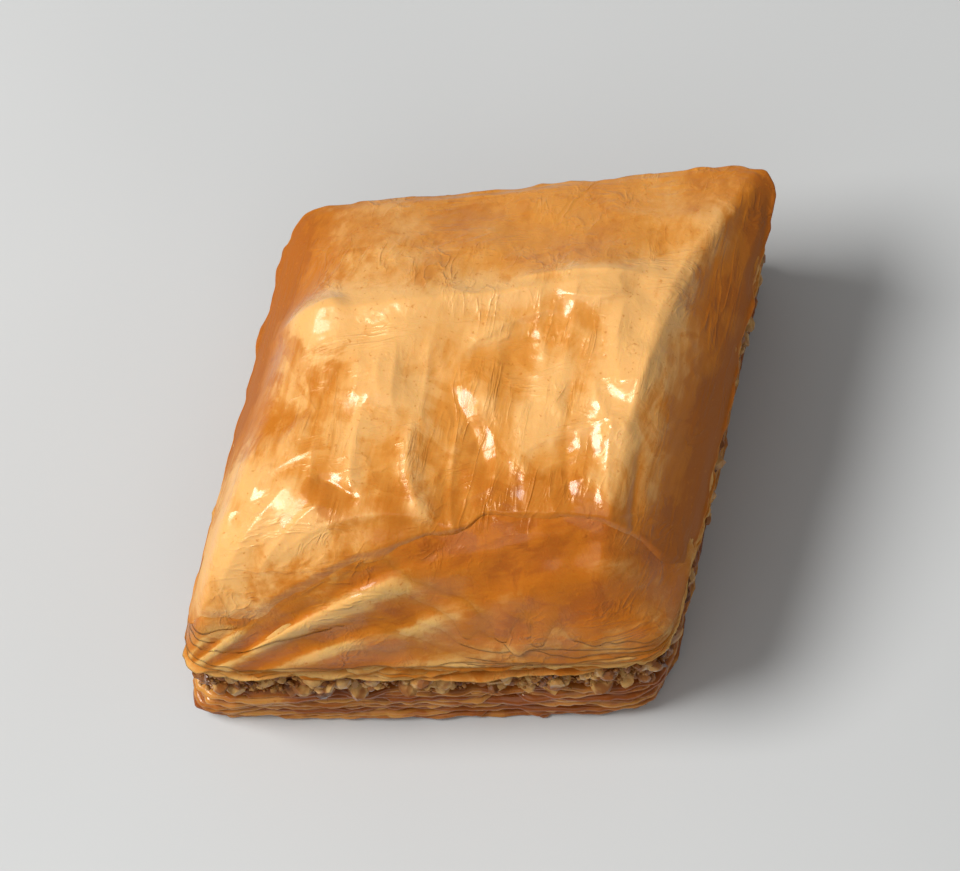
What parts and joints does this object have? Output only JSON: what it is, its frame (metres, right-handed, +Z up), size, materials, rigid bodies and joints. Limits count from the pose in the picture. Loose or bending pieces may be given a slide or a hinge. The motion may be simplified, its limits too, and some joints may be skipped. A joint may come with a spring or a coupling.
{
  "type": "baklava piece",
  "caption": "Lozenge-cut piece of walnut baklava: a puffed, glazed stack of thin baked leaves over a walnut band and a flat stack of syrup-soaked leaves; a ready-to-eat sweet pastry.",
  "frame": {"origin": "on the flat underside, at the middle of the piece's bounding box seen from above", "axes": "+Z up out of the glazed top; -Y is the cut that faces the viewer at the foot of the picture; +X runs along that cut towards the picture's right; the slanted cuts lean towards +X going back"},
  "size_m": [0.0526, 0.0454, 0.032],
  "materials": {
    "glazed_leaves": "golden baked leaves under a glossy syrup glaze, semi-translucent",
    "crushed_walnut": "crushed walnut, moist and crumbly",
    "syrup_soaked_leaves": "amber leaves soaked with syrup, wet and glossy at the cut"
  },
  "bodies": {
    "root": {"upper_leaves": "glazed_leaves", "walnut_filling": "crushed_walnut", "lower_leaves": "syrup_soaked_leaves"}
  },
  "joints": []
}
